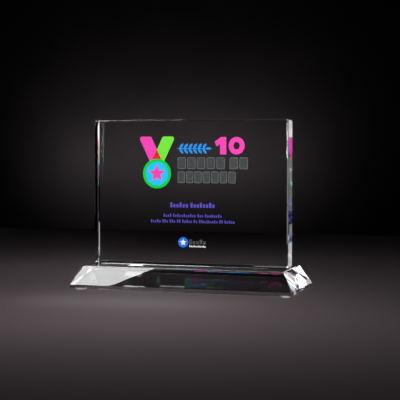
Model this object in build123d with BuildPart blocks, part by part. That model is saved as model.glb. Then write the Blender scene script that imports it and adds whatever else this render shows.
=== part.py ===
"""Crystal award: an upright clear slab, printed on its back face, bonded to a sloping crystal base.

Millimetres, +Z up. The origin is on the surface the award stands on, under the middle of its base.
The award faces -Y, so the print on the panel's back face, at +Y, is read through the crystal.
"""

import os
from math import cos, radians, sin

from build123d import *

# Upright panel.
PANEL_WIDTH = 203.0
PANEL_HEIGHT = 146.0
PANEL_THICKNESS = 19.0
PANEL_BEVEL = 1.2

# Base: an upright lip, then four slopes that rise to a flat top.
BASE_LENGTH = 228.0
BASE_DEPTH = 91.0
BASE_TOP_LENGTH = 206.0
BASE_TOP_DEPTH = 72.0
LIP_HEIGHT = 3.6
SLOPE_HEIGHT = 18.4
BASE_BEVEL = 0.6
LIP_BEVEL = 0.5

# Clear stick-on bumper feet, each with its adhesive disc.
FOOT_DIAMETER = 10.0
FOOT_THICKNESS = 1.2
FOOT_ROUNDING = 0.5
FOOT_INSET = 8.5
ADHESIVE_DISC_DIAMETER = 9.4
ADHESIVE_DISC_THICKNESS = 0.2

# Adhesive film between panel and base, pulled in a little from the panel's bevels.
BOND_THICKNESS = 0.1
BOND_INSET = 0.4

# Cured ink: a colour layer on the crystal, and a white layer behind it.
INK_THICKNESS = 0.1

# Medal emblem. Print places are across from the panel's middle and up from its bottom edge.
MEDAL_X = -37.7
MEDAL_Y = 92.0
MEDAL_RADIUS = 15.0
MEDAL_RIM = 3.0
MEDAL_STAR_RADIUS = 9.2
EMBLEM_TOP = 129.6
STRAP_WIDTH = 13.4
STRAP_TOP_OFFSET = 13.0
STRAP_FOOT_OFFSET = 5.0
STRAP_ROUNDING = 2.4

# Laurel sprig.
SPRIG_LEFT = -15.6
SPRIG_LENGTH = 36.0
SPRIG_Y = 117.3
STEM_WIDTH = 1.0
LEAF_PAIRS = 6
LEAF_LENGTH = 6.6
LEAF_WIDTH = 2.6
LEAF_ANGLE = 52.0
LEAF_START = 0.4

# Numerals.
NUMERAL_FOOT = 111.4
NUMERAL_HEIGHT = 17.4
ONE_RIGHT = 35.5
ONE_STEM = 6.4
ONE_FLAG_REACH = 5.6
ONE_FLAG_DROP = 4.6
ONE_FLAG_CUT = 2.0
ONE_FLAG_DEPTH = 9.4
ONE_NOTCH_DROP = 7.2
ONE_CROWN = 1.0
ZERO_X = 46.2
ZERO_WIDTH = 16.4
ZERO_STROKE = 5.0

# Rows of blocks that stand where an inscription goes: left end, overall length, foot, height,
# the number of blocks in each word, the gap between blocks as a share of a block's width, and the
# extra space after a word as a share of the pitch.
TITLE_ONE = dict(left=-15.5, length=73.4, foot=96.8, height=11.7, words=(5, 2), gap=0.17, space=0.33)
TITLE_TWO = dict(left=-15.5, length=60.8, foot=82.6, height=11.7, words=(7,), gap=0.17, space=0.33)
NAME_ROW = dict(left=-23.4, length=46.8, foot=57.9, height=5.0, words=(6, 8), gap=0.45, space=0.5)
MESSAGE_ONE = dict(
    left=-30.5, length=61.0, foot=48.2, height=3.2, words=(4, 11, 3, 8), gap=0.8, space=0.5
)
MESSAGE_TWO = dict(
    left=-44.1, length=88.2, foot=42.4, height=3.2, words=(5, 3, 3, 2, 5, 2, 9, 2, 5), gap=0.8, space=0.5
)
FOOTER_ONE = dict(left=-3.2, length=17.3, foot=21.0, height=4.7, words=(5,), gap=0.3, space=0.5)
FOOTER_TWO = dict(left=-3.2, length=17.3, foot=17.9, height=2.0, words=(11,), gap=0.6, space=0.5)
LOWER_BLOCK = 0.68
TALL_BLOCK_STEP = 3
TITLE_ROUNDING = 1.3
TITLE_OUTLINE = 0.6
BLOCK_ROUNDING = 0.24

# Footer disc and its star.
FOOTER_DISC_X = -9.7
FOOTER_DISC_Y = 22.6
FOOTER_DISC_RADIUS = 5.2
FOOTER_STAR_RADIUS = 3.7

STAR_POINTS = 5
STAR_INNER = 0.45

BASE_BOTTOM = FOOT_THICKNESS + ADHESIVE_DISC_THICKNESS
LIP_TOP = BASE_BOTTOM + LIP_HEIGHT
BASE_TOP = LIP_TOP + SLOPE_HEIGHT
PANEL_BOTTOM = BASE_TOP + BOND_THICKNESS

# X across the panel, Y up it, and the normal towards the viewer, so ink grows along -normal.
PRINT_PLANE = Plane(origin=(0, PANEL_THICKNESS / 2, PANEL_BOTTOM), x_dir=(1, 0, 0), z_dir=(0, -1, 0))
BACKING_PLANE = PRINT_PLANE.offset(-INK_THICKNESS)

os.makedirs("parts", exist_ok=True)


def save(piece, name):
    piece.part.label = name
    export_step(piece.part, f"parts/{name}.step")


def print_ink(name, draw, plane=PRINT_PLANE):
    """One cured ink film: the outline that draw() adds to the sketch, a layer thick."""
    with BuildPart() as ink:
        with BuildSketch(plane):
            draw()
        extrude(amount=-INK_THICKNESS)
    save(ink, name)


# ---- Crystal panel ----

with BuildPart() as panel:
    with BuildSketch(Plane.XY.offset(PANEL_BOTTOM)):
        Rectangle(PANEL_WIDTH, PANEL_THICKNESS)
    extrude(amount=PANEL_HEIGHT)
    chamfer(panel.edges(), PANEL_BEVEL)
save(panel, "crystal_panel")


# ---- Crystal base ----

with BuildPart() as base:
    with BuildSketch(Plane.XY.offset(BASE_BOTTOM)):
        Rectangle(BASE_LENGTH, BASE_DEPTH)
    extrude(amount=LIP_HEIGHT)
    with BuildSketch(Plane.XY.offset(LIP_TOP)):
        Rectangle(BASE_LENGTH, BASE_DEPTH)
    with BuildSketch(Plane.XY.offset(BASE_TOP)):
        Rectangle(BASE_TOP_LENGTH, BASE_TOP_DEPTH)
    loft()
    hips = base.edges().filter_by(lambda edge: edge.bounding_box().size.Z > SLOPE_HEIGHT / 2)
    top_rim = base.faces().sort_by(Axis.Z)[-1].edges()
    chamfer(hips + top_rim, BASE_BEVEL)
    lip_corners = base.edges().filter_by(Axis.Z)
    bottom_rim = base.faces().sort_by(Axis.Z)[0].edges()
    chamfer(lip_corners + bottom_rim, LIP_BEVEL)
save(base, "crystal_base")


# ---- Adhesive film between the two crystals ----

with BuildPart() as bond:
    with BuildSketch(Plane.XY.offset(BASE_TOP)):
        Rectangle(
            PANEL_WIDTH - 2 * (PANEL_BEVEL + BOND_INSET),
            PANEL_THICKNESS - 2 * (PANEL_BEVEL + BOND_INSET),
        )
    extrude(amount=BOND_THICKNESS)
save(bond, "bond_film")


# ---- Feet ----

FOOT_X = BASE_LENGTH / 2 - FOOT_INSET
FOOT_Y = BASE_DEPTH / 2 - FOOT_INSET
FOOT_PLACES = {
    "front_left": (-FOOT_X, -FOOT_Y),
    "front_right": (FOOT_X, -FOOT_Y),
    "rear_left": (-FOOT_X, FOOT_Y),
    "rear_right": (FOOT_X, FOOT_Y),
}

for corner, place in FOOT_PLACES.items():
    with BuildPart() as foot:
        with BuildSketch():
            with Locations(place):
                Circle(FOOT_DIAMETER / 2)
        extrude(amount=FOOT_THICKNESS)
        fillet(foot.faces().sort_by(Axis.Z)[0].edges(), FOOT_ROUNDING)
    save(foot, f"foot_{corner}")

with BuildPart() as adhesive_discs:
    with BuildSketch(Plane.XY.offset(FOOT_THICKNESS)):
        with Locations(*FOOT_PLACES.values()):
            Circle(ADHESIVE_DISC_DIAMETER / 2)
    extrude(amount=ADHESIVE_DISC_THICKNESS)
save(adhesive_discs, "foot_adhesive_discs")


# ---- Print: outlines ----

def draw_star(x, y, radius, mode=Mode.ADD):
    """A five-pointed star with one point up."""
    step = 180 / STAR_POINTS
    corners = []
    for i in range(2 * STAR_POINTS):
        reach = radius * (STAR_INNER if i % 2 else 1)
        angle = radians(90 + i * step)
        corners.append((x + reach * cos(angle), y + reach * sin(angle)))
    with BuildLine() as outline:
        Polyline(*corners, close=True)
    make_face(outline.edges(), mode=mode)


def draw_disc(x, y, radius, mode=Mode.ADD):
    with Locations((x, y)):
        Circle(radius, mode=mode)


def draw_strap(side, mode=Mode.ADD):
    """A ribbon strap that leans in from one side (-1 left, 1 right) and crosses under the medal."""
    top = MEDAL_X + side * STRAP_TOP_OFFSET
    end = MEDAL_X - side * STRAP_FOOT_OFFSET
    half = STRAP_WIDTH / 2
    with BuildLine() as outline:
        FilletPolyline(
            (end - half, MEDAL_Y),
            (end + half, MEDAL_Y),
            (top + half, EMBLEM_TOP),
            (top - half, EMBLEM_TOP),
            radius=STRAP_ROUNDING,
            close=True,
        )
    make_face(outline.edges(), mode=mode)


def draw_pink_strap():
    draw_strap(-1)
    draw_strap(1, Mode.SUBTRACT)
    draw_disc(MEDAL_X, MEDAL_Y, MEDAL_RADIUS, Mode.SUBTRACT)


def draw_green_strap():
    draw_strap(1)
    draw_strap(-1, Mode.SUBTRACT)
    draw_disc(MEDAL_X, MEDAL_Y, MEDAL_RADIUS, Mode.SUBTRACT)


def draw_strap_crossing():
    draw_strap(-1)
    draw_strap(1, Mode.INTERSECT)
    draw_disc(MEDAL_X, MEDAL_Y, MEDAL_RADIUS, Mode.SUBTRACT)


def draw_medal_rim():
    draw_disc(MEDAL_X, MEDAL_Y, MEDAL_RADIUS)
    draw_disc(MEDAL_X, MEDAL_Y, MEDAL_RADIUS - MEDAL_RIM, Mode.SUBTRACT)


def draw_medal_field():
    draw_disc(MEDAL_X, MEDAL_Y, MEDAL_RADIUS - MEDAL_RIM)
    draw_star(MEDAL_X, MEDAL_Y, MEDAL_STAR_RADIUS, Mode.SUBTRACT)


def draw_medal_star():
    draw_star(MEDAL_X, MEDAL_Y, MEDAL_STAR_RADIUS)


def draw_leaf(x, y, angle):
    """A pointed leaf with one tip at (x, y)."""
    along = Vector(cos(radians(angle)), sin(radians(angle)))
    across = Vector(-along.Y, along.X) * LEAF_WIDTH / 2
    root = Vector(x, y)
    tip = root + along * LEAF_LENGTH
    middle = root + along * LEAF_LENGTH / 2
    with BuildLine() as outline:
        ThreePointArc(root, middle + across, tip)
        ThreePointArc(tip, middle - across, root)
    make_face(outline.edges())


def draw_sprig():
    """A straight stem with pairs of leaves and one leaf at its tip."""
    stem_length = SPRIG_LENGTH - LEAF_LENGTH / 2
    with Locations((SPRIG_LEFT + stem_length / 2, SPRIG_Y)):
        SlotOverall(stem_length, STEM_WIDTH)
    pitch = (SPRIG_LENGTH - LEAF_LENGTH) / LEAF_PAIRS
    for i in range(LEAF_PAIRS):
        x = SPRIG_LEFT + (i + LEAF_START) * pitch
        draw_leaf(x, SPRIG_Y, LEAF_ANGLE)
        draw_leaf(x, SPRIG_Y, -LEAF_ANGLE)
    draw_leaf(SPRIG_LEFT + SPRIG_LENGTH - LEAF_LENGTH, SPRIG_Y, 0)


def draw_one():
    top = NUMERAL_FOOT + NUMERAL_HEIGHT
    left = ONE_RIGHT - ONE_STEM
    with BuildLine() as outline:
        Polyline(
            (left, NUMERAL_FOOT),
            (ONE_RIGHT, NUMERAL_FOOT),
            (ONE_RIGHT, top),
            (left + ONE_CROWN, top),
            (left - ONE_FLAG_REACH, top - ONE_FLAG_DROP),
            (left - ONE_FLAG_REACH + ONE_FLAG_CUT, top - ONE_FLAG_DEPTH),
            (left, top - ONE_NOTCH_DROP),
            close=True,
        )
    make_face(outline.edges())


def draw_zero():
    with Locations((ZERO_X, NUMERAL_FOOT + NUMERAL_HEIGHT / 2)):
        Ellipse(ZERO_WIDTH / 2, NUMERAL_HEIGHT / 2)
        Ellipse(ZERO_WIDTH / 2 - ZERO_STROKE, NUMERAL_HEIGHT / 2 - ZERO_STROKE, mode=Mode.SUBTRACT)


def block_places(row):
    """(middle x, width, first of a word) of each block in a row, left to right."""
    pitch_per_width = 1 + row["gap"]
    spaces = row["space"] * (len(row["words"]) - 1)
    width = row["length"] / ((sum(row["words"]) + spaces) * pitch_per_width - row["gap"])
    x = row["left"]
    places = []
    for word in row["words"]:
        for i in range(word):
            places.append((x + width / 2, width, i == 0))
            x += width * pitch_per_width
        x += width * pitch_per_width * row["space"]
    return places


def draw_title(row, shrink=0.0, mode=Mode.ADD):
    for x, width, _ in block_places(row):
        with Locations((x, row["foot"] + row["height"] / 2)):
            RectangleRounded(
                width - 2 * shrink,
                row["height"] - 2 * shrink,
                TITLE_ROUNDING - shrink,
                mode=mode,
            )


def draw_title_outline(row):
    draw_title(row)
    draw_title(row, TITLE_OUTLINE, Mode.SUBTRACT)


def draw_row(row):
    """Small blocks: full height at the start of a word and at every third block, lower between."""
    for i, (x, width, first) in enumerate(block_places(row)):
        height = row["height"] * (1 if first or i % TALL_BLOCK_STEP == 0 else LOWER_BLOCK)
        with Locations((x, row["foot"] + height / 2)):
            RectangleRounded(width, height, BLOCK_ROUNDING)


def draw_footer_disc():
    draw_disc(FOOTER_DISC_X, FOOTER_DISC_Y, FOOTER_DISC_RADIUS)
    draw_footer_star(Mode.SUBTRACT)


def draw_footer_star(mode=Mode.ADD):
    draw_star(FOOTER_DISC_X, FOOTER_DISC_Y, FOOTER_STAR_RADIUS, mode)


def draw_backing():
    """The white layer behind every bright motif."""
    draw_strap(-1)
    draw_strap(1)
    draw_disc(MEDAL_X, MEDAL_Y, MEDAL_RADIUS)
    draw_sprig()
    draw_one()
    draw_zero()
    draw_disc(FOOTER_DISC_X, FOOTER_DISC_Y, FOOTER_DISC_RADIUS)


# ---- Print: cured ink films ----

INK_FILMS = {
    "emblem_strap_pink": draw_pink_strap,
    "emblem_strap_green": draw_green_strap,
    "emblem_strap_crossing": draw_strap_crossing,
    "emblem_medal_rim": draw_medal_rim,
    "emblem_medal_field": draw_medal_field,
    "emblem_medal_star": draw_medal_star,
    "laurel_sprig": draw_sprig,
    "numeral_one": draw_one,
    "numeral_zero": draw_zero,
    "title_row_one": lambda: draw_title(TITLE_ONE, TITLE_OUTLINE),
    "title_row_one_outline": lambda: draw_title_outline(TITLE_ONE),
    "title_row_two": lambda: draw_title(TITLE_TWO, TITLE_OUTLINE),
    "title_row_two_outline": lambda: draw_title_outline(TITLE_TWO),
    "name_row": lambda: draw_row(NAME_ROW),
    "message_row_one": lambda: draw_row(MESSAGE_ONE),
    "message_row_two": lambda: draw_row(MESSAGE_TWO),
    "footer_disc": draw_footer_disc,
    "footer_star": draw_footer_star,
    "footer_row_one": lambda: draw_row(FOOTER_ONE),
    "footer_row_two": lambda: draw_row(FOOTER_TWO),
}

for name, draw in INK_FILMS.items():
    print_ink(name, draw)
print_ink("white_backing", draw_backing, BACKING_PLANE)
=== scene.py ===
"""Looks for the crystal award: clear crystal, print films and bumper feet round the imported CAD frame.

Metres, +Z up, the award faces -Y, and z = 0 is the surface it stands on. Directions called right
and left are the viewer's, so right is +X.
"""

from math import cos, pi, radians, sin, tan

import bmesh
import bpy
from mathutils import Matrix, Vector


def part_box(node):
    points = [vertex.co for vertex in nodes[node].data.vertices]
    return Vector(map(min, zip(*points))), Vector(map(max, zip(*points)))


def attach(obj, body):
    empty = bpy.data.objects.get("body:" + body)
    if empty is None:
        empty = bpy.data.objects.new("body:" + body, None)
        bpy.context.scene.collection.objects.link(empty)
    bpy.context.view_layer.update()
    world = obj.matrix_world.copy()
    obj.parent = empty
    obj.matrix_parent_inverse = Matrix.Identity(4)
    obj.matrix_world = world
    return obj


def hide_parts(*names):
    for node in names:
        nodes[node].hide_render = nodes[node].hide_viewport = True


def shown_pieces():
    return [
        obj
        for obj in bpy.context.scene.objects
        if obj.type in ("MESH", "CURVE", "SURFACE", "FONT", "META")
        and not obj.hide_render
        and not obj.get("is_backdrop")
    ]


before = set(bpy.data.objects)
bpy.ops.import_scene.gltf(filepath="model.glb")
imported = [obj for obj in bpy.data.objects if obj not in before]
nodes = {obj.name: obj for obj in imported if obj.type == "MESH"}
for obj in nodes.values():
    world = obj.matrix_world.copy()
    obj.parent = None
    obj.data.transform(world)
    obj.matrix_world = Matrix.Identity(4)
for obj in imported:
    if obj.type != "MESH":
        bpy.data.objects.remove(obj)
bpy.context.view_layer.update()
MM = 0.001
SAME_PLACE = 1e-7

# ---- Settings for clear crystal: long light paths, and no caustic noise ----

scene = bpy.context.scene
scene.view_settings.view_transform = "Standard"
scene.cycles.max_bounces = 32
scene.cycles.transmission_bounces = 24
scene.cycles.glossy_bounces = 24
scene.cycles.transparent_max_bounces = 24
scene.cycles.diffuse_bounces = 3
scene.cycles.caustics_refractive = False
scene.cycles.caustics_reflective = False
scene.cycles.sample_clamp_indirect = 12


# ---- Node helpers ----

# Sockets of the Mix node that share a name, so they are found by their place.
MIX_FACTOR = 0
MIX_FLOAT_A = 2
MIX_FLOAT_B = 3
MIX_COLOUR_A = 6
MIX_COLOUR_B = 7
MIX_COLOUR_RESULT = 2


def new_material(name):
    """A material with no nodes yet, and a function that adds a node and sets or links its inputs."""
    material = bpy.data.materials.new(name)
    material.use_nodes = True
    tree = material.node_tree
    tree.nodes.clear()

    def add(kind, inputs=None, **settings):
        node = tree.nodes.new("ShaderNode" + kind)
        for key, value in settings.items():
            setattr(node, key, value)
        for key, value in (inputs or {}).items():
            if isinstance(value, bpy.types.NodeSocket):
                tree.links.new(value, node.inputs[key])
            else:
                node.inputs[key].default_value = value
        return node

    return material, add


def remap(add, value, source, target):
    """value, stretched from the range source to the range target."""
    ends = {"From Min": source[0], "From Max": source[1], "To Min": target[0], "To Max": target[1]}
    return add("MapRange", {"Value": value, **ends}).outputs[0]


def toned(add, colour, shade):
    """colour, darkened by shade."""
    tone = add("CombineColor", {0: shade, 1: shade, 2: shade}).outputs[0]
    paint = add(
        "Mix",
        {MIX_FACTOR: 1.0, MIX_COLOUR_A: rgba(colour), MIX_COLOUR_B: tone},
        data_type="RGBA",
        blend_type="MULTIPLY",
    )
    return paint.outputs[MIX_COLOUR_RESULT]


def rgba(colour):
    return (*colour, 1.0)


def linear(red, green, blue):
    """Scene-linear colour of an sRGB one, each part from 0 to 255."""
    parts = []
    for part in (red, green, blue):
        part = part / 255
        parts.append(part / 12.92 if part <= 0.04045 else ((part + 0.055) / 1.055) ** 2.4)
    return tuple(parts)


# ---- Materials ----

CRYSTAL_IOR = 1.52
POLYURETHANE_IOR = 1.49
SMUDGE = 0.03
BEVEL_ROUGHNESS = 0.35
CLEAR = (1.0, 1.0, 1.0)
CRYSTAL_SHADOW = (0.97, 0.98, 0.975)


def crystal(name, tint, roughness=0.0):
    """Polished optical crystal with faint wiping marks in its gloss; shadows pass through it."""
    material, add = new_material(name)
    place = add("TexCoord").outputs["Object"]
    wipes = add("Mapping", {"Vector": place, "Scale": (9.0, 9.0, 60.0), "Rotation": (0.3, 0.5, 0.2)})
    marks = add("TexNoise", {"Vector": wipes.outputs[0], "Scale": 3.0, "Detail": 5.0, "Roughness": 0.6})
    rough = remap(add, marks.outputs[0], (0.45, 0.75), (roughness, roughness + SMUDGE))
    glass = add(
        "BsdfPrincipled",
        {"Base Color": rgba(tint), "Roughness": rough, "IOR": CRYSTAL_IOR, "Transmission Weight": 1.0},
    )
    passing = add("BsdfTransparent", {"Color": rgba(CRYSTAL_SHADOW)})
    shadow = add("LightPath").outputs["Is Shadow Ray"]
    both = add("MixShader", {0: shadow, 1: glass.outputs[0], 2: passing.outputs[0]})
    add("OutputMaterial", {"Surface": both.outputs[0]})
    return material


def wet_out(name):
    """Where the adhesive wets the crystal, so light goes straight on."""
    material, add = new_material(name)
    passing = add("BsdfTransparent", {"Color": rgba(CLEAR)})
    add("OutputMaterial", {"Surface": passing.outputs[0]})
    return material


def adhesive(name):
    """Cured clear adhesive, which only shows by a few tiny bubbles."""
    material, add = new_material(name)
    place = add("TexCoord").outputs["Object"]
    cells = add("TexVoronoi", {"Vector": place, "Scale": 260.0})
    bubble = remap(add, cells.outputs["Distance"], (0.06, 0.10), (0.5, 0.0))
    passing = add("BsdfTransparent", {"Color": rgba(CLEAR)})
    skin = add("BsdfPrincipled", {"Base Color": rgba((0.75, 0.78, 0.8)), "Roughness": 0.2})
    both = add("MixShader", {0: bubble, 1: passing.outputs[0], 2: skin.outputs[0]})
    add("OutputMaterial", {"Surface": both.outputs[0]})
    return material


def ink(name, colour, grain=0.10):
    """Cured inkjet ink: fine droplets and faint pass bands vary its colour, and its skin is satin."""
    material, add = new_material(name)
    place = add("TexCoord").outputs["Object"]
    drops = add("TexNoise", {"Vector": place, "Scale": 2600.0, "Detail": 3.0}).outputs[0]
    passes = add("TexWave", {"Vector": place, "Scale": 150.0, "Distortion": 1.5}, bands_direction="Z")
    mottle = add(
        "Mix",
        {MIX_FACTOR: 0.25, MIX_FLOAT_A: drops, MIX_FLOAT_B: passes.outputs["Fac"]},
        data_type="FLOAT",
    )
    shade = remap(add, mottle.outputs[0], (0.25, 0.75), (1.0 - grain, 1.0))
    relief = add("Bump", {"Strength": 0.15, "Distance": 0.02 * MM, "Height": drops})
    skin = add(
        "BsdfPrincipled",
        {
            "Base Color": toned(add, colour, shade),
            "Roughness": remap(add, drops, (0.3, 0.7), (0.42, 0.58)),
            "Specular IOR Level": 0.15,
            "Normal": relief.outputs[0],
        },
    )
    add("OutputMaterial", {"Surface": skin.outputs[0]})
    return material


def bumper(name, colour, roughness, clear):
    """Soft clear polyurethane, a little milky, with a fine dusty skin."""
    material, add = new_material(name)
    place = add("TexCoord").outputs["Object"]
    dust = add("TexNoise", {"Vector": place, "Scale": 1400.0, "Detail": 4.0})
    skin = add(
        "BsdfPrincipled",
        {
            "Base Color": rgba(colour),
            "Roughness": remap(add, dust.outputs[0], (0.35, 0.7), (roughness, roughness + 0.2)),
            "IOR": POLYURETHANE_IOR,
            "Transmission Weight": clear,
        },
    )
    add("OutputMaterial", {"Surface": skin.outputs[0]})
    return material


def matt(name, colour, mottle_scale, spread):
    """Matt paint or paper whose tone wanders a little."""
    material, add = new_material(name)
    place = add("TexCoord").outputs["Object"]
    cloud = add("TexNoise", {"Vector": place, "Scale": mottle_scale, "Detail": 6.0})
    shade = remap(add, cloud.outputs[0], (0.3, 0.7), (1.0 - spread, 1.0))
    skin = add(
        "BsdfPrincipled",
        {"Base Color": toned(add, colour, shade), "Roughness": 0.85, "Specular IOR Level": 0.2},
    )
    add("OutputMaterial", {"Surface": skin.outputs[0]})
    return material


PINK = linear(255, 72, 186)
GREEN = linear(122, 238, 62)
RED = linear(225, 45, 38)
DEEP_GREEN = linear(0, 214, 70)
CYAN = linear(45, 200, 255)
BLUE = linear(40, 150, 238)
GREY = linear(66, 69, 70)
LIGHT_GREY = linear(104, 108, 108)
VIOLET = linear(90, 78, 190)
ROYAL_BLUE = linear(34, 112, 232)
WHITE = linear(244, 244, 242)
BASE_TINT = (0.98, 0.99, 0.988)

panel_glass = crystal("panel_crystal", (0.985, 0.992, 0.99))
base_glass = crystal("base_crystal", BASE_TINT)
bevel_glass = crystal("base_bevels", BASE_TINT, BEVEL_ROUGHNESS)
wet = wet_out("adhesive_contact")

NODE_LOOKS = {
    "bond_film": ("bond_adhesive", adhesive("bond_adhesive")),
    "foot_adhesive_discs": ("foot_adhesive", bumper("foot_adhesive", (0.85, 0.85, 0.82), 0.3, 0.4)),
    "emblem_strap_pink": ("ink_pink", ink("ink_pink", PINK)),
    "emblem_strap_green": ("ink_green", ink("ink_green", GREEN)),
    "emblem_strap_crossing": ("ink_red", ink("ink_red", RED)),
    "emblem_medal_rim": ("ink_deep_green", ink("ink_deep_green", DEEP_GREEN)),
    "emblem_medal_field": ("ink_cyan", ink("ink_cyan", CYAN)),
    "laurel_sprig": ("ink_blue", ink("ink_blue", BLUE)),
    "title_row_one": ("ink_grey", ink("ink_grey", GREY)),
    "title_row_one_outline": ("ink_light_grey", ink("ink_light_grey", LIGHT_GREY)),
    "name_row": ("ink_violet", ink("ink_violet", VIOLET)),
    "footer_disc": ("ink_royal_blue", ink("ink_royal_blue", ROYAL_BLUE)),
    "footer_star": ("ink_white", ink("ink_white", WHITE, grain=0.05)),
    "foot_front_left": ("clear_bumper", bumper("clear_bumper", (0.92, 0.93, 0.92), 0.15, 0.45)),
}
SAME_AS = {
    "emblem_medal_star": "emblem_strap_pink",
    "numeral_one": "emblem_strap_pink",
    "numeral_zero": "emblem_strap_pink",
    "title_row_two": "title_row_one",
    "title_row_two_outline": "title_row_one_outline",
    "message_row_one": "name_row",
    "message_row_two": "name_row",
    "footer_row_one": "title_row_one",
    "footer_row_two": "footer_star",
    "white_backing": "footer_star",
    "foot_front_right": "foot_front_left",
    "foot_rear_left": "foot_front_left",
    "foot_rear_right": "foot_front_left",
}
for other, model in SAME_AS.items():
    NODE_LOOKS[other] = NODE_LOOKS[model]

for node_name, (slot, material) in NODE_LOOKS.items():
    piece = nodes[node_name]
    piece.data.materials.clear()
    piece.data.materials.append(material)


# ---- Crystal panel and base: closed bevelled blocks ----

PANEL_BEVEL = 1.2 * MM
BASE_BEVEL = 0.6 * MM
LIP_BEVEL = 0.5 * MM
LIP_HEIGHT = 3.6 * MM
BASE_TOP_LENGTH = 206.0 * MM
BASE_TOP_DEPTH = 72.0 * MM
ARRIS = 0.15 * MM
INK_SINK = 0.05 * MM

# Places of the materials in a block's list.
WETTED = 1
BEVELLED = 2

panel_low, panel_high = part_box("crystal_panel")
base_low, base_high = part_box("crystal_base")


def block(rings):
    """A closed solid through rectangular rings (half length, half depth, height), lowest first."""
    mesh = bmesh.new()
    loops = []
    for half_x, half_y, z in rings:
        corners = [(-half_x, -half_y), (half_x, -half_y), (half_x, half_y), (-half_x, half_y)]
        loops.append([mesh.verts.new((x, y, z)) for x, y in corners])
    mesh.faces.new(reversed(loops[0]))
    for lower, upper in zip(loops, loops[1:]):
        for i in range(4):
            j = (i + 1) % 4
            mesh.faces.new((lower[i], lower[j], upper[j], upper[i]))
    mesh.faces.new(loops[-1])
    mesh.normal_update()
    return mesh


def chamfer(mesh, edges, width):
    bmesh.ops.bevel(
        mesh, geom=list(edges), offset=width, offset_type="OFFSET", segments=1, affect="EDGES",
        clamp_overlap=True,
    )
    mesh.normal_update()


def finished(mesh, name, materials, node):
    """The mesh as a piece that rides on the root body and replaces its CAD node."""
    data = bpy.data.meshes.new(name)
    mesh.to_mesh(data)
    mesh.free()
    for material in materials:
        data.materials.append(material)
    piece = bpy.data.objects.new(name, data)
    scene.collection.objects.link(piece)
    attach(piece, "root")
    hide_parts(node)
    return piece


def heights(element):
    """The lowest and highest z of an edge or a face."""
    levels = [v.co.z for v in element.verts]
    return min(levels), max(levels)


def spans(element, low, high):
    """Whether an edge or a face reaches from low to high."""
    bottom, top = heights(element)
    return abs(bottom - low) < SAME_PLACE and abs(top - high) < SAME_PLACE


def flat_faces(mesh, height):
    return [f for f in mesh.faces if spans(f, height, height)]


half_width = (panel_high.x - panel_low.x) / 2
half_thick = (panel_high.y - panel_low.y) / 2
panel_mesh = block([(half_width, half_thick, panel_low.z), (half_width, half_thick, panel_high.z)])
chamfer(panel_mesh, panel_mesh.edges, PANEL_BEVEL)
chamfer(panel_mesh, panel_mesh.edges, ARRIS)

# The back face goes a little way into the ink, so that no air lies between them.
for vert in panel_mesh.verts:
    if vert.co.y > half_thick - SAME_PLACE:
        vert.co.y += INK_SINK
panel_mesh.normal_update()
contact = flat_faces(panel_mesh, panel_low.z)
for face in contact:
    face.material_index = WETTED
contact_x = max(v.co.x for f in contact for v in f.verts)
contact_y = max(v.co.y for f in contact for v in f.verts)
finished(panel_mesh, "panel_crystal", [panel_glass, wet], "crystal_panel")

lip_top = base_low.z + LIP_HEIGHT
base_mesh = block([
    ((base_high.x - base_low.x) / 2, (base_high.y - base_low.y) / 2, base_low.z),
    ((base_high.x - base_low.x) / 2, (base_high.y - base_low.y) / 2, lip_top),
    (BASE_TOP_LENGTH / 2, BASE_TOP_DEPTH / 2, base_high.z),
])
slope_edges = [
    e for e in base_mesh.edges
    if spans(e, lip_top, base_high.z) or spans(e, base_high.z, base_high.z)
]
chamfer(base_mesh, slope_edges, BASE_BEVEL)

# The lip's edges: those at the bottom, and the upright ones, whose tops the slopes' bevels moved a little.
BEVEL_SHIFT = 0.1 * MM
low_edges = [
    e for e in base_mesh.edges
    if heights(e)[0] < base_low.z + SAME_PLACE and heights(e)[1] < lip_top + BEVEL_SHIFT
]
chamfer(base_mesh, low_edges, LIP_BEVEL)

# The top is cut along the panel's outline, and the part under the panel is wetted by the adhesive.
for axis, reach in (((1, 0, 0), contact_x), ((0, 1, 0), contact_y)):
    for side in (-1, 1):
        top = flat_faces(base_mesh, base_high.z)
        geom = top + list({e for f in top for e in f.edges}) + list({v for f in top for v in f.verts})
        bmesh.ops.bisect_plane(
            base_mesh, geom=geom, dist=SAME_PLACE, plane_co=Vector(axis) * side * reach, plane_no=axis,
        )
for face in flat_faces(base_mesh, base_high.z):
    middle = face.calc_center_median()
    if abs(middle.x) < contact_x and abs(middle.y) < contact_y:
        face.material_index = WETTED

# The narrow bevels round the top are polished less finely than the faces.
for face in base_mesh.faces:
    bottom, top = heights(face)
    if bottom > base_high.z - 2 * BASE_BEVEL and top - bottom > BASE_BEVEL / 4:
        face.material_index = BEVELLED
base_mesh.normal_update()
finished(base_mesh, "base_crystal", [base_glass, wet, bevel_glass], "crystal_base")


# ---- Camera ----

CAMERA_AZIMUTH = radians(17.514)
CAMERA_ELEVATION = radians(2.327)
CAMERA_DISTANCE = 1.1154
CAMERA_TARGET = Vector((0.009, 0.0, 0.0893))
CAMERA_LENS = 100.15

camera = bpy.data.objects.new("camera", bpy.data.cameras.new("camera"))
scene.collection.objects.link(camera)
scene.camera = camera
camera.data.lens = CAMERA_LENS
back = Vector((
    sin(CAMERA_AZIMUTH) * cos(CAMERA_ELEVATION),
    -cos(CAMERA_AZIMUTH) * cos(CAMERA_ELEVATION),
    sin(CAMERA_ELEVATION),
))
camera.location = CAMERA_TARGET + back * CAMERA_DISTANCE
camera.rotation_euler = (-back).to_track_quat("-Z", "Y").to_euler()


# ---- Stage: a pale tabletop, and dark paper far behind it ----

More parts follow.
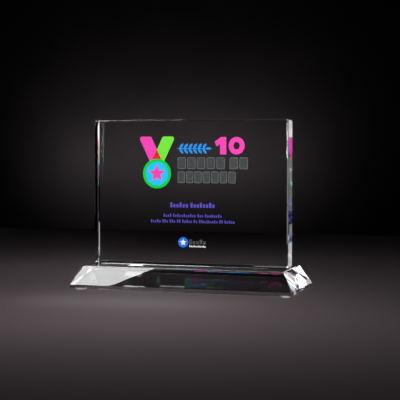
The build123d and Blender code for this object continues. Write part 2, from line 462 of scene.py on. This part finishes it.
TABLE_BACK = 0.80
TABLE_FRONT = -4.0
TABLE_SIDE = 3.0
BACKDROP_Y = 2.6
BACKDROP_SIDE = 12.0
BACKDROP_DROP = 1.5
BACKDROP_TOP = 3.0
ROOM_COLOUR = (0.9, 0.86, 0.9)
ROOM_STRENGTH = 0.002


def sheet_object(name, corners, material):
    data = bpy.data.meshes.new(name)
    data.from_pydata(corners, [], [(0, 1, 2, 3)])
    data.materials.append(material)
    piece = bpy.data.objects.new(name, data)
    scene.collection.objects.link(piece)
    piece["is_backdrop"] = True
    return piece


tabletop = sheet_object(
    "tabletop",
    [
        (-TABLE_SIDE, TABLE_FRONT, 0),
        (TABLE_SIDE, TABLE_FRONT, 0),
        (TABLE_SIDE, TABLE_BACK, 0),
        (-TABLE_SIDE, TABLE_BACK, 0),
    ],
    matt("tabletop", (0.72, 0.585, 0.625), mottle_scale=900.0, spread=0.10),
)
backdrop = sheet_object(
    "backdrop",
    [
        (-BACKDROP_SIDE, BACKDROP_Y, -BACKDROP_DROP),
        (BACKDROP_SIDE, BACKDROP_Y, -BACKDROP_DROP),
        (BACKDROP_SIDE, BACKDROP_Y, BACKDROP_TOP),
        (-BACKDROP_SIDE, BACKDROP_Y, BACKDROP_TOP),
    ],
    matt("backdrop", (0.11, 0.092, 0.098), mottle_scale=6.0, spread=0.2),
)

world = bpy.data.worlds.new("room")
scene.world = world
world.use_nodes = True
world.node_tree.nodes["Background"].inputs["Color"].default_value = rgba(ROOM_COLOUR)
world.node_tree.nodes["Background"].inputs["Strength"].default_value = ROOM_STRENGTH


# ---- Lamps: soft rectangles, each linked to what it lights ----

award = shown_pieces()
AWARD_MIDDLE = (0.0, 0.0, 0.09)
LEFT_HALF = (-0.1, 0.0, 0.10)
RIGHT_HALF = (0.1, 0.0, 0.10)
BACK_ROW = 1.15
FRONT_ROW = 1.30


def softbox(name, place, aim, size, radiance, only, spread=180.0, roll=0.0, diffuse=True, mirrored=True,
            through=True):
    """A rectangular softbox at place that faces aim, as bright as radiance, and lights only the pieces given.

    It never shows directly. diffuse, mirrored and through say whether it lights matt surfaces, shows in
    reflections and shows through crystal.
    """
    width, height = size
    data = bpy.data.lights.new(name, "AREA")
    data.shape = "RECTANGLE"
    data.size = width
    data.size_y = height
    data.energy = radiance * pi * width * height
    data.spread = radians(spread)
    lamp = bpy.data.objects.new(name, data)
    scene.collection.objects.link(lamp)
    lamp.location = place
    facing = (Vector(aim) - Vector(place)).to_track_quat("-Z", "Y").to_matrix()
    lamp.rotation_euler = (facing @ Matrix.Rotation(radians(roll), 3, "Z")).to_euler()
    lamp.visible_camera = False
    lamp.visible_diffuse = diffuse
    lamp.visible_glossy = mirrored
    lamp.visible_transmission = through
    lit = bpy.data.collections.new(name + "_lights")
    for piece in only:
        lit.objects.link(piece)
    lamp.light_linking.receiver_collection = lit


def strip(name, y, across, up, radiance):
    """A strip light that stands upright at y, spans across and up, and faces the front."""
    middle = (sum(across) / 2, y, sum(up) / 2)
    softbox(
        name, middle, (middle[0], 0.0, middle[2]), (across[1] - across[0], up[1] - up[0]), radiance, award,
    )


# Strips that only one bevel of the panel shows. A grid narrows their light, so that they don't show through
# the panel's faces, and GRID_GAIN is what the grid adds to the brightness straight ahead.
GRID_SPREAD = 8.0
GRID_HALF = radians(GRID_SPREAD / 2)
GRID_GAIN = tan(GRID_HALF) / (tan(GRID_HALF) - GRID_HALF)
LEFT_BEVEL = Vector((-0.0985, 0.0, 0.0))
RIGHT_BEVEL = Vector((0.091, 0.0095, 0.0))
LEFT_SIGHT = Vector((0.0892, 1.0, 0.029))
LEFT_MIRRORED_SIGHT = Vector((0.0892, -1.0, 0.029))
LEFT_LOW_SIGHT = Vector((0.0892, 1.0, -0.080))
RIGHT_LOW_SIGHT = Vector((-0.825, 1.0, -0.076))


def grid_strip(name, bevel, sight, reach, width, up, radiance):
    """A narrow gridded strip, reach along the sight that a bevel gives, and upright over the heights up."""
    place = bevel + sight * reach
    place.z = sum(up) / 2
    softbox(
        name, place, place - sight, (width, up[1] - up[0]), radiance / GRID_GAIN, award, spread=GRID_SPREAD,
        diffuse=False,
    )


for name, up, radiance in (
    ("bevel_high_light", (0.150, 0.260), 0.80),
    ("bevel_middle_light", (0.115, 0.150), 0.60),
    ("bevel_low_light", (0.090, 0.115), 0.12),
):
    grid_strip(name, LEFT_BEVEL, LEFT_SIGHT, BACK_ROW, 0.06, up, radiance)
grid_strip("bevel_foot_light", LEFT_BEVEL, LEFT_LOW_SIGHT, 0.30, 0.020, (0.004, 0.048), 0.42)
grid_strip("front_bevel_light", LEFT_BEVEL, LEFT_MIRRORED_SIGHT, FRONT_ROW, 0.06, (0.120, 0.300), 2.6)
grid_strip("right_bevel_low_light", RIGHT_BEVEL, RIGHT_LOW_SIGHT, 0.39, 0.030, (0.006, 0.062), 0.20)

# Strips that show in the panel's right end face and bevels.
for name, across, up, radiance in (
    ("end_strip_one", (0.298, 0.333), (0.135, 0.30), 3.6),
    ("end_strip_two", (0.343, 0.372), (0.170, 0.30), 1.6),
    ("end_strip_three", (0.343, 0.372), (0.02, 0.13), 0.3),
    ("right_bevel_strip", (-0.90, -0.80), (0.02, 0.60), 0.18),
):
    strip(name, BACK_ROW, across, up, radiance)
strip("end_low_strip", 0.20, (0.135, 0.160), (0.001, 0.032), 1.3)

# Light on the print, and the white glow in the left half of the base's front slope and lip.
softbox("print_light", (1.0, -1.35, 0.30), AWARD_MIDDLE, (0.5, 0.35), 62.0, award)
softbox(
    "slope_light", (-0.365, -0.482, 0.520), (-0.365, -0.482, 0.0), (0.215, 0.078), 13.0, award, roll=25.5,
    through=False,
)
softbox(
    "lip_light", (-0.370, -0.482, 0.505), (-0.370, -0.482, 0.0), (0.085, 0.070), 8.0, award, mirrored=False,
)

# Light from above and behind, on edges, bevels and the facets at the base's right end.
softbox("rim_light", (-0.60, 0.80, 0.90), AWARD_MIDDLE, (0.40, 0.40), 5.0, award)
softbox(
    "chamfer_light", (-0.47, 0.65, 1.40), (0.0, -0.036, 0.02), (0.60, 0.24), 9.0, award, diffuse=False,
    through=False,
)
softbox("right_facet_light", (-1.00, 0.60, 1.40), AWARD_MIDDLE, (0.40, 0.40), 6.0, award)
softbox(
    "back_fill_light", (-0.5, 0.80, 0.90), AWARD_MIDDLE, (0.50, 0.50), 14.0, award, mirrored=False,
    through=False,
)
softbox("left_high_light", (-0.80, 0.0, 1.40), AWARD_MIDDLE, (0.60, 0.40), 3.0, award)
softbox("room_light", (0.0, -0.2, 2.6), (0.0, 0.0, 0.0), (1.2, 1.2), 0.15, award)

# Fill from the sides.
softbox("right_light", (0.72, -0.20, 0.15), RIGHT_HALF, (0.30, 0.30), 0.03, award)
softbox("left_light", (-0.72, -1.30, 0.50), LEFT_HALF, (0.30, 0.50), 5.0, award)
softbox("left_back_light", (-0.95, 0.35, 0.22), LEFT_HALF, (0.40, 0.40), 0.15, award)

# Pools of light on the tabletop, and a low glow on the backdrop.
POOL_HEIGHT = 0.25
POOL_SIZE = (0.12, 0.12)
for name, x, y, radiance in (
    ("table_light", 0.0, -0.20, 1.84),
    ("table_left_light", -0.20, 0.10, 0.53),
    ("table_middle_light", 0.0, -0.05, 0.35),
    ("table_right_light", 0.20, -0.20, 0.30),
    ("table_back_light", 0.0, 0.25, 0.22),
):
    softbox(
        name, (x, y, POOL_HEIGHT), (x, y, 0.0), POOL_SIZE, radiance, [tabletop], mirrored=False,
        through=False,
    )
softbox(
    "front_pool_light", (-0.03, -0.13, 0.06), (-0.03, -0.09, 0.0), (0.16, 0.02), 0.6, [tabletop],
    mirrored=False, through=False,
)
softbox(
    "backdrop_light", (-0.91, 2.37, 0.10), (-0.91, BACKDROP_Y, 0.16), (0.84, 0.06), 2.2, [backdrop],
    spread=150.0, mirrored=False, through=False,
)
